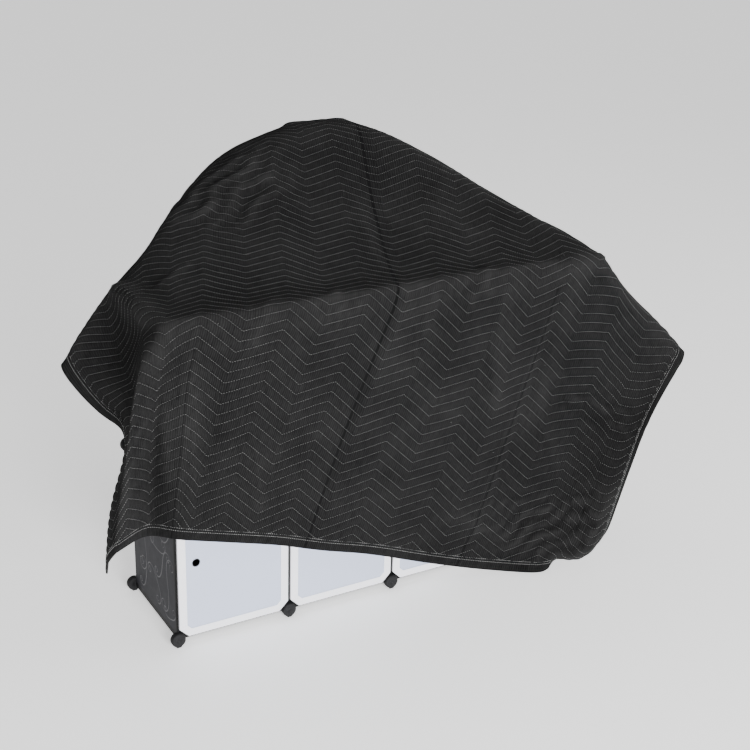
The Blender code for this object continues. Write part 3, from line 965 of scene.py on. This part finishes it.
@dataclass
class MovingPad:
    """The quilted sheet with its hems and its stitching."""

    drape: Drape
    columns_a_leg: int = 9
    rows_a_channel: int = 4
    flat_offset: float = 0.12
    top_puff: float = 0.27
    under_puff: float = 0.10
    hem_lines: tuple = (2.55, 3.35)
    hem_round: float = 0.16
    stitch_lift: float = 0.07
    quilt_stitch: tuple = (0.0068, 0.0054, 0.0013)
    hem_stitch: tuple = (0.0060, 0.0050, 0.0016)
    hem_step: float = 0.8

    def grid_places(self) -> tuple[np.ndarray, np.ndarray]:
        """Return the places along and deep of one face's vertices, on a grid that follows the quilting."""
        pattern = self.drape.pattern
        step = pattern.period / 2 / self.columns_a_leg
        inner = pattern.first_peak + step * np.arange(-4, (pattern.along - pattern.first_peak) / step)
        inner = inner[(inner > 0.4) & (inner < pattern.along - 0.4)]
        columns = np.concatenate([[0.0], inner, [pattern.along]])
        channel = pattern.pitch / self.rows_a_channel
        last = pattern.deep + pattern.height
        quilted = pattern.first_line + channel * np.arange(-3, (last - pattern.first_line) / channel - 0.4)
        rows = np.concatenate([[0.0], quilted, [last]])
        along = np.repeat(columns[:, None], len(rows), axis=1)
        deep = pattern.row_deep(np.repeat(rows[None, :], len(columns), axis=0), along)
        return along, np.clip(deep, 0.0, pattern.deep)

    def cloth_mesh(self) -> Mesh:
        """Build the closed sheet: a quilted top, a flatter underside and a rounded hem."""
        pattern = self.drape.pattern
        along, deep = self.grid_places()
        middle, normal = self.drape.at(along, deep)
        pillow = pattern.pillow(along, deep)
        top = middle + normal * (self.flat_offset + self.top_puff * pillow)[..., None]
        under = middle - normal * (self.flat_offset + self.under_puff * pillow)[..., None]
        count_u, count_v = along.shape
        ring = ([(i, 0) for i in range(count_u)] + [(count_u - 1, j) for j in range(1, count_v)]
                + [(i, count_v - 1) for i in range(count_u - 2, -1, -1)]
                + [(0, j) for j in range(count_v - 2, 0, -1)])
        ring_u, ring_v = np.array(ring).T
        outward = np.stack([1.0 * (places == count - 1) - 1.0 * (places == 0)
                            for places, count in ((ring_u, count_u), (ring_v, count_v))], axis=-1)
        slope_u, slope_v = unit(np.gradient(middle, axis=0)), unit(np.gradient(middle, axis=1))
        push = unit(slope_u[ring_u, ring_v] * outward[:, :1] + slope_v[ring_u, ring_v] * outward[:, 1:])
        rim = middle[ring_u, ring_v] + push * self.hem_round
        points = self.drape.place(np.concatenate([top.reshape(-1, 3), under.reshape(-1, 3), rim]))
        size = count_u * count_v
        index = np.arange(size).reshape(count_u, count_v)
        faces_top = np.stack([index[:-1, :-1], index[1:, :-1], index[1:, 1:], index[:-1, 1:]], axis=-1)
        faces_top = faces_top.reshape(-1, 4)
        faces_under = faces_top[:, ::-1] + size
        edge = index[ring_u, ring_v]
        after = np.roll(edge, -1)
        rims = 2 * size + np.arange(len(ring))
        rims_after = np.roll(rims, -1)
        faces_rim = np.concatenate([np.stack([edge, rims, rims_after, after], axis=-1),
                                    np.stack([rims, edge + size, after + size, rims_after], axis=-1)])
        faces = np.concatenate([faces_top, faces_under, faces_rim])
        mesh = bpy.data.meshes.new("moving_pad")
        mesh.from_pydata(points.tolist(), [], faces.tolist())
        self.add_layers(mesh, along, deep, pillow, ring_u, ring_v)
        mesh.shade_smooth()
        return mesh

    def add_layers(self, mesh: Mesh, along: np.ndarray, deep: np.ndarray, pillow: np.ndarray,
                   ring_u: np.ndarray, ring_v: np.ndarray) -> None:
        """Give the mesh its flat map and the attributes that the cloth's material reads.

        Args:
            mesh: The closed sheet.
            along: Place along the hem of each vertex of a face.
            deep: Depth of each vertex of a face.
            pillow: Swell of each vertex of a face.
            ring_u: Column of each rim vertex.
            ring_v: Row of each rim vertex.
        """
        pattern = self.drape.pattern

        def spread(values: np.ndarray) -> np.ndarray:
            return np.concatenate([values.ravel(), values.ravel(), values[ring_u, ring_v]])

        u, v = spread(along / pattern.along), spread(deep / pattern.deep)
        corners = np.empty(len(mesh.loops), np.int32)
        mesh.loops.foreach_get("vertex_index", corners)
        layer = mesh.uv_layers.new(name="cloth")
        layer.data.foreach_set("uv", np.stack([u[corners], v[corners]], axis=-1).ravel().astype(np.float32))
        side = np.concatenate([np.zeros(along.size), np.ones(along.size), np.zeros(len(ring_u))])
        # The outward bends are painted paler in the material: partly rubbing, partly painted highlight.
        crest = spread(self.crests(along, deep))
        # The channels' swell is also painted paler: partly rubbing, partly painted highlight.
        for name, values in (("puff", spread(pillow)), ("underside", side), ("crest", crest)):
            attribute = mesh.attributes.new(name, "FLOAT", "POINT")
            attribute.data.foreach_set("value", values.astype(np.float32))

    def crests(self, along: np.ndarray, deep: np.ndarray) -> np.ndarray:
        """Return how strongly the cloth bends outwards, which is where it is painted paler: partly rubbing,
        partly painted highlight.
        """
        here = self.drape.grid
        bend = np.zeros(here.shape[:2])
        for axis in (0, 1):
            for reach in (2, 4):
                shifted = (np.roll(here, reach, axis) + np.roll(here, -reach, axis)) / 2 - here
                bend += np.clip(-(shifted * self.drape.normals).sum(-1), 0.0, 1.0) / reach
        bend[:4], bend[-4:], bend[:, :4], bend[:, -4:] = 0.0, 0.0, 0.0, 0.0
        near_u = np.clip(np.rint(along).astype(int), 0, here.shape[0] - 1)
        near_v = np.clip(np.rint(deep).astype(int), 0, here.shape[1] - 1)
        return np.clip(bend[near_u, near_v] * 1.1, 0.0, 1.0)

    def sewing_line(self, along: np.ndarray, deep: np.ndarray) -> np.ndarray:
        """Return points in metres that lie on the top of the cloth."""
        middle, normal = self.drape.at(along, deep)
        pattern = self.drape.pattern
        hem_swell = pattern.hem_fullness * (1.0 - pattern.inside_hems(along, deep))
        lift = self.flat_offset + self.stitch_lift + self.top_puff * hem_swell
        return self.drape.place(middle + normal * lift[..., None])

    def quilting_runs(self) -> list:
        """Return each zigzag line of stitching, cut at the hems."""
        pattern = self.drape.pattern
        edge = self.hem_lines[1]
        step = pattern.period / 2 / self.columns_a_leg / 2
        along = pattern.first_peak + step * np.arange(-6, (pattern.along - pattern.first_peak) / step)
        along = along[(along > edge) & (along < pattern.along - edge)]
        runs = []
        for line in range(pattern.lines + 2):
            deep = pattern.first_line + pattern.pitch * line - pattern.drop(along)
            inside = (deep > edge) & (deep < pattern.deep - edge)
            pieces = np.split(np.arange(len(along)), np.flatnonzero(np.diff(inside.astype(int))) + 1)
            for piece in pieces:
                if inside[piece[0]] and len(piece) > 2:
                    runs.append(self.sewing_line(along[piece], deep[piece]))
        return runs

    def hem_runs(self) -> list:
        """Return the two closed lines of stitching along the hems."""
        pattern = self.drape.pattern
        runs = []
        for inset in self.hem_lines:
            across = np.arange(inset, pattern.along - inset, self.hem_step)
            back = np.arange(inset, pattern.deep - inset, self.hem_step)
            along = np.concatenate([across, np.full(len(back), pattern.along - inset),
                                    across[::-1] + self.hem_step / 2, np.full(len(back), inset), [inset]])
            deep = np.concatenate([np.full(len(across), inset), back,
                                   np.full(len(across), pattern.deep - inset),
                                   back[::-1] + self.hem_step / 2, [inset]])
            runs.append(self.sewing_line(along, deep))
        return runs

    def build(self) -> None:
        """Build and dress the sheet and sew its lines."""
        pattern = self.drape.pattern
        cloth = new_piece("moving_pad", self.cloth_mesh(), PadCloth(pattern).make())
        thread = Thread().make()
        quilting = StitchRun(*self.quilt_stitch).sew("quilt_stitching", self.quilting_runs(), thread)
        hem_thread = Thread("bright hem thread", (0.34, 0.34, 0.335), (0.20, 0.20, 0.20)).make()
        hems = StitchRun(*self.hem_stitch).sew("hem_stitching", self.hem_runs(), hem_thread)
        sewn = [new_piece(mesh.name, mesh, mesh.materials[0]) for mesh in (quilting, hems)]
        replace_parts(cloth, "pad")


@dataclass
class StorageCabinet:
    """Eight cubes of thin panels in round connectors, with pale doors in front."""

    corner: Vector
    cube_wide: float = 0.325
    cube_high: float = 0.431
    deep: float = 0.325
    along: int = 4
    up: int = 2
    foot: float = 0.022
    joint_radius: float = 0.0198
    joint_deep: float = 0.0205
    joint_sides: int = 32
    door_border: float = 0.022
    door_recess: float = 0.0016
    hole_place: tuple = (0.051, 0.215)
    hole_size: tuple = (0.0115, 0.0120)
    door_cut: float = 0.026
    pane_cut: float = 0.012
    lip: float = 0.0012
    pane_slope: float = 0.002
    scroll_width: float = 0.0036
    scroll_thick: float = 0.0006

    def build(self) -> None:
        """Build and dress the whole cabinet."""
        dark = MouldedPlastic("dark panel", (0.022, 0.022, 0.026), 0.6, marks=0.2, gloss=0.12)
        edge = MouldedPlastic("black panel edge", (0.004, 0.004, 0.004), 0.6, gloss=0.15)
        panel = dark.make()
        for node in ("cabinet_side_left", "cabinet_side_right", "cabinet_back"):
            dress_node(node, panel)
        black = edge.make()
        for node in ("lid", "tray", "divider_1", "divider_2", "divider_3"):
            dress_node(f"cabinet_{node}", black)
        self.build_doors()
        self.build_connectors()
        self.build_scrolls()
        self.build_edge_strips(black)

    def octagon(self, low: Vector, high: Vector, cut: float) -> list:
        """Return the corners of a panel whose corners are cut off, as (x, z) pairs."""
        return [(low.x + cut, low.z), (high.x - cut, low.z), (high.x, low.z + cut), (high.x, high.z - cut),
                (high.x - cut, high.z), (low.x + cut, high.z), (low.x, high.z - cut), (low.x, low.z + cut)]

    def door_mesh(self, name: str, low: Vector, high: Vector) -> Mesh:
        """Build a door: a raised border with cut corners around a recessed panel with a finger hole.

        Args:
            name: The mesh's name.
            low: Lowest corner of the door's solid.
            high: Highest corner of the door's solid.

        Returns:
            A closed mesh with two material places: the border and the panel.
        """
        def inward(amount: float) -> tuple:
            step = Vector((amount, 0, amount))
            return low + step, high - step

        rings = (
            (0.0, self.door_cut, high.y),
            (0.0, self.door_cut, low.y + self.lip),
            (self.lip, self.door_cut, low.y),
            (self.door_border, self.pane_cut, low.y),
            (self.door_border + self.pane_slope, self.pane_cut, low.y + self.door_recess),
        )
        loops = [[(x, y, z) for x, z in self.octagon(*inward(amount), cut)] for amount, cut, y in rings]
        mesh = skinned_mesh(name, loops, smooth=False)
        sides = len(loops[0])
        for face in mesh.polygons[sides * (len(loops) - 2):sides * (len(loops) - 1) + 1]:
            face.material_index = 1
        return mesh

    def hole_mesh(self, sides: int = 28) -> Mesh:
        """Build a black oval of painted shade for a finger hole, with a thin rounded lip, about its own
        middle.
        """
        profile = ((1.0, 0.0), (0.97, -0.0006), (0.86, -0.0006), (0.80, 0.0), (0.74, 0.0006))
        turns = [math.tau * side / sides for side in range(sides)]
        wide, high = self.hole_size
        loops = [[(wide * scale * math.cos(turn), y, high * scale * math.sin(turn)) for turn in turns]
                 for scale, y in profile]
        return skinned_mesh("finger_hole", loops)

    def build_doors(self) -> None:
        """Build the doors in place of their plain solids."""
        border = MouldedPlastic("white door border", (0.93, 0.93, 0.98), 0.35, marks=0.02).make()
        pane = MouldedPlastic("pale blue door panel", (0.52, 0.57, 0.72), 0.42, marks=0.03).make()
        # The finger holes are black ovals: painted shade for the dark inside seen through them.
        hole = MouldedPlastic("black finger hole", (0.004, 0.004, 0.004), 0.6).make()
        places = []
        for row in range(1, self.up + 1):
            for number in range(1, self.along + 1):
                node = f"door_{row}_{number}"
                low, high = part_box(node)
                mesh = self.door_mesh(f"{node}_panel", low, high)
                mesh.materials.append(border)
                mesh.materials.append(pane)
                piece = new_piece(mesh.name, mesh, border)
                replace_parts(piece, node)
                places.append(low + Vector((self.hole_place[0], self.door_recess, self.hole_place[1])))
        new_piece("finger_holes", ShapeSpread().spread("finger_holes", self.hole_mesh(), places, hole), hole)

    def connector_profile(self) -> list:
        """Return (radius, depth) pairs from the middle of the front cap to the middle of the back one."""
        radius, half = self.joint_radius, self.joint_deep / 2
        steps = ((0.30, 0.0016), (0.34, 0.0004), (0.60, 0.0002),
                 (0.86, 0.0010), (0.96, 0.0024), (1.0, 0.0048))
        front = [(share * radius, -half + depth) for share, depth in steps]
        return front + [(ring, -y) for ring, y in front[::-1]]

    def connector_mesh(self, has_foot: bool) -> Mesh:
        """Turn one round connector about its own middle, with a flat foot where it stands on the floor.

        Args:
            has_foot: Whether it stands on the floor.

        Returns:
            A closed mesh.
        """
        sides = self.joint_sides
        loops = []
        for radius, y in self.connector_profile():
            loop = []
            for side in range(sides):
                angle = math.tau * (side + 0.5) / sides
                x, z = radius * math.cos(angle), radius * math.sin(angle)
                if has_foot and math.sin(angle) < -0.9:
                    z = -self.foot * radius / self.joint_radius
                loop.append((x, y, z))
            loops.append(loop)
        return skinned_mesh("connector", loops)

    def build_connectors(self) -> None:
        """Build the connectors in place of their plain solids."""
        finish = MouldedPlastic("dark grey connector", (0.014, 0.014, 0.015), 0.62,
                                marks=0.15, gloss=0.15).make()
        spread = ShapeSpread()
        for name, rows in (("connector_feet", (1,)), ("connector_caps", range(2, self.up + 2))):
            nodes, places = [], []
            for row in rows:
                for side in ("front", "back"):
                    for number in range(1, self.along + 2):
                        nodes.append(f"connector_{side}_{row}_{number}")
                        low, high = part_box(nodes[-1])
                        places.append(Vector(((low.x + high.x) / 2, (low.y + high.y) / 2,
                                              self.foot + self.cube_high * (row - 1))))
            mesh = spread.spread(name, self.connector_mesh(rows == (1,)), places, finish)
            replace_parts(new_piece(name, mesh, finish), *nodes)

    def scroll_points(self, length: float, curl: float, turn: float, mirrored: bool) -> np.ndarray:
        """Return a scroll that curls up at both ends, as (across, up) pairs about its own middle.

        Args:
            length: Its length in metres.
            curl: How tightly its ends curl, in turns.
            turn: Its direction in degrees.
            mirrored: Whether both ends curl to the same side.

        Returns:
            The points along the scroll.
        """
        part = np.linspace(-1.0, 1.0, 110)
        bend = np.abs(part) ** 1.7 * (1.0 if mirrored else np.sign(part)) + 0.02
        angle = np.cumsum(bend) * (2.0 / len(part)) * curl * math.tau * 2.0 + math.radians(turn)
        steps = np.stack([np.cos(angle), np.sin(angle)], axis=-1) * length / len(part)
        line = np.cumsum(steps, axis=0)
        return line - line.mean(axis=0)

    def ribbon_mesh(self, runs: list, x: float, outward: float) -> Mesh:
        """Build flat raised ribbons on a side panel.

        Args:
            runs: Arrays of (back, up) places in metres.
            x: The panel's outer face.
            outward: -1 on the left side, 1 on the right side.

        Returns:
            One mesh of all the ribbons.
        """
        points, faces, total = [], [], 0
        for run in runs:
            slope = unit(np.gradient(run, axis=0))
            aside = np.stack([-slope[:, 1], slope[:, 0]], axis=-1)
            taper = np.sin(np.linspace(0.06, math.pi - 0.06, len(run))) ** 0.4 * self.scroll_width / 2
            left, right = run + aside * taper[:, None], run - aside * taper[:, None]
            for (ly, lz), (my, mz), (ry, rz) in zip(left, run, right):
                points += [(x, ly, lz), (x + outward * self.scroll_thick, my, mz), (x, ry, rz)]
            for step in range(len(run) - 1):
                a, b = total + 3 * step, total + 3 * step + 3
                faces += [(a, a + 1, b + 1, b), (a + 1, a + 2, b + 2, b + 1), (a + 2, a, b, b + 2)]
            last = total + 3 * (len(run) - 1)
            faces += [(total, total + 2, total + 1), (last, last + 1, last + 2)]
            total += 3 * len(run)
        mesh = new_mesh("scrolls", np.array(points), faces)
        shape = bmesh.new()
        shape.from_mesh(mesh)
        return finished_mesh("scrolls", shape)

    def build_scrolls(self) -> None:
        """Lay plain raised scrolls in lighter grey over the two side panels, one set for each cube."""
        finish = MouldedPlastic("grey scroll", (0.080, 0.080, 0.085), 0.5, marks=0.1, gloss=0.2).make()
        scrolls = (
            ((0.075, 0.120), 0.40, 2.1, 80, False),
            ((0.165, 0.085), 0.30, 2.0, 20, True),
            ((0.235, 0.175), 0.42, 2.2, 100, False),
            ((0.140, 0.225), 0.30, 2.0, 150, True),
            ((0.070, 0.310), 0.40, 2.1, 60, True),
            ((0.190, 0.340), 0.38, 2.2, 110, False),
            ((0.262, 0.330), 0.26, 1.9, 40, True),
            ((0.110, 0.168), 0.30, 2.2, 130, False),
            ((0.250, 0.075), 0.26, 2.0, 75, True),
            ((0.215, 0.250), 0.28, 2.1, 10, False),
            ((0.060, 0.045), 0.20, 1.9, 160, True),
        )
        for name, outward in (("left", -1.0), ("right", 1.0)):
            low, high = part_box(f"cabinet_side_{name}")
            runs = []
            for row in range(self.up):
                for (back, rise), length, curl, turn, mirrored in scrolls:
                    centre = np.array([low.y + back - 0.012, self.foot + self.cube_high * row + rise])
                    runs.append(np.clip(self.scroll_points(length, curl, turn, mirrored) + centre,
                                        [low.y + 0.004, low.z + 0.004], [high.y - 0.004, high.z - 0.004]))
            face = low.x if outward < 0 else high.x
            mesh = self.ribbon_mesh(runs, face, outward)
            new_piece(f"side_scrolls_{name}", mesh, finish)

    def build_edge_strips(self, finish: Material) -> None:
        """Add the black edges of the panels that show between the doors and at the corners."""
        front_y = self.corner.y + 0.0002
        for number in range(self.along + 1):
            x = self.corner.x + self.cube_wide * number
            for row in range(self.up):
                low_z = self.foot + self.cube_high * row + self.joint_radius + 0.001
                high_z = low_z + self.cube_high - 2 * self.joint_radius - 0.002
                shape = bmesh.new()
                place = Matrix.Translation((x, front_y + 0.003, (low_z + high_z) / 2))
                size = Matrix.Diagonal((0.0056, 0.0076, high_z - low_z, 1))
                bmesh.ops.create_cube(shape, size=1.0, matrix=place @ size)
                bmesh.ops.bevel(shape, geom=shape.edges[:], offset=0.0008, segments=2, affect="EDGES")
                mesh = bpy.data.meshes.new("edge_strip")
                shape.to_mesh(mesh)
                shape.free()
                new_piece(f"edge_strip_{row + 1}_{number + 1}", mesh, finish)


@dataclass
class RearStand:
    """The plain upright that carries the high part of the cloth."""

    node: str = "stand"

    def build(self) -> None:
        """Give the stand's solid its board finish."""
        dress_node(self.node, Fibreboard().make())
        LOG.info("%s: board finish", self.node)


@dataclass
class Studio:
    """A pale floor, soft lights and a camera at the photograph's viewing angle."""

    corner: Vector
    eye: tuple = (-1.110, -2.855, 2.024)
    yaw: float = 30.6
    pitch: float = 22.2
    roll: float = 1.68
    lens: float = 64.8
    floor_glow: float = 0.8
    floor_reach: float = 30.0
    all_round: float = 0.36
    aim: tuple = (0.0, 0.0, 0.6)

    def build(self) -> None:
        """Set the camera, the floor, the world and the lights."""
        self.add_camera()
        self.add_floor()
        self.add_world()
        self.add_light(Light.KEY, (-0.9, -5.8, 1.9), 2.0, 560.0)
        self.add_light(Light.FILL, (4.4, -2.0, 2.0), 2.6, 50.0)
        self.add_light(Light.TOP, (0.2, 2.4, 4.6), 3.6, 24.0)

    def add_camera(self) -> None:
        """Place the camera as worked out from the cabinet's edges."""
        yaw, pitch, roll = (math.radians(angle) for angle in (self.yaw, self.pitch, self.roll))
        ahead = Vector((math.sin(yaw) * math.cos(pitch), math.cos(yaw) * math.cos(pitch), -math.sin(pitch)))
        level = Vector((math.cos(yaw), -math.sin(yaw), 0.0))
        upright = level.cross(ahead)
        right = math.cos(roll) * level + math.sin(roll) * upright
        up = -math.sin(roll) * level + math.cos(roll) * upright
        camera = bpy.data.objects.new("camera", bpy.data.cameras.new("camera"))
        camera.data.lens = self.lens
        camera.data.sensor_width = 36.0
        camera.data.clip_end = 50.0
        turned = Matrix((right, up, -ahead)).transposed().to_4x4()
        camera.matrix_world = Matrix.Translation(Vector(self.eye) + self.corner) @ turned
        bpy.context.scene.collection.objects.link(camera)
        bpy.context.scene.camera = camera

    def add_floor(self) -> None:
        """Lay the floor."""
        kit = NodeKit("pale floor", (0.93, 0.93, 0.93), 0.8)
        kit.link(kit.ramp(kit.noise(kit.object_coordinates(), 2.0), [(0.3, 0.92), (0.7, 0.94)]),
                 kit.shader.inputs["Base Color"])
        kit.shader.inputs["Emission Color"].default_value = (1.0, 1.0, 1.0, 1.0)
        kit.shader.inputs["Emission Strength"].default_value = self.floor_glow
        far = self.floor_reach
        corners = [(-far, -far, 0.0), (far, -far, 0.0), (far, far, 0.0), (-far, far, 0.0)]
        mesh = new_mesh("floor", np.array(corners), [(0, 1, 2, 3)])
        mesh.materials.append(kit.material)
        floor = bpy.data.objects.new("floor", mesh)
        bpy.context.scene.collection.objects.link(floor)

    def add_world(self) -> None:
        """Light the scene evenly from all round."""
        world = bpy.data.worlds.new("studio")
        world.use_nodes = True
        background = world.node_tree.nodes["Background"]
        background.inputs["Color"].default_value = (1.0, 1.0, 1.0, 1.0)
        background.inputs["Strength"].default_value = self.all_round
        bpy.context.scene.world = world

    def add_light(self, job: Light, place: tuple, size: float, power: float) -> None:
        """Add one soft light that faces the cabinet.

        Args:
            job: What the light is for.
            place: Where it stands, in metres.
            size: Side of its square face.
            power: Its strength in watts.
        """
        lamp = bpy.data.lights.new(job.value, "AREA")
        lamp.shape = "SQUARE"
        lamp.size = size
        lamp.energy = power
        holder = bpy.data.objects.new(job.value, lamp)
        holder.location = place
        holder.rotation_euler = (Vector(self.aim) - Vector(place)).to_track_quat("-Z", "Y").to_euler()
        bpy.context.scene.collection.objects.link(holder)


def cabinet_corner() -> Vector:
    """Return the cabinet's front left connector axis, on the floor."""
    low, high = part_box("connector_front_1_1")
    return Vector(((low.x + high.x) / 2, (low.y + high.y) / 2, 0.0))


def main() -> None:
    """Build the scene in order."""
    logging.basicConfig(level=logging.INFO, format="%(name)s %(message)s")
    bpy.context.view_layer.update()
    corner = cabinet_corner()
    Studio(corner).build()
    StorageCabinet(corner).build()
    RearStand().build()
    MovingPad(Drape(corner)).build()


if __name__ == "__main__":
    main()
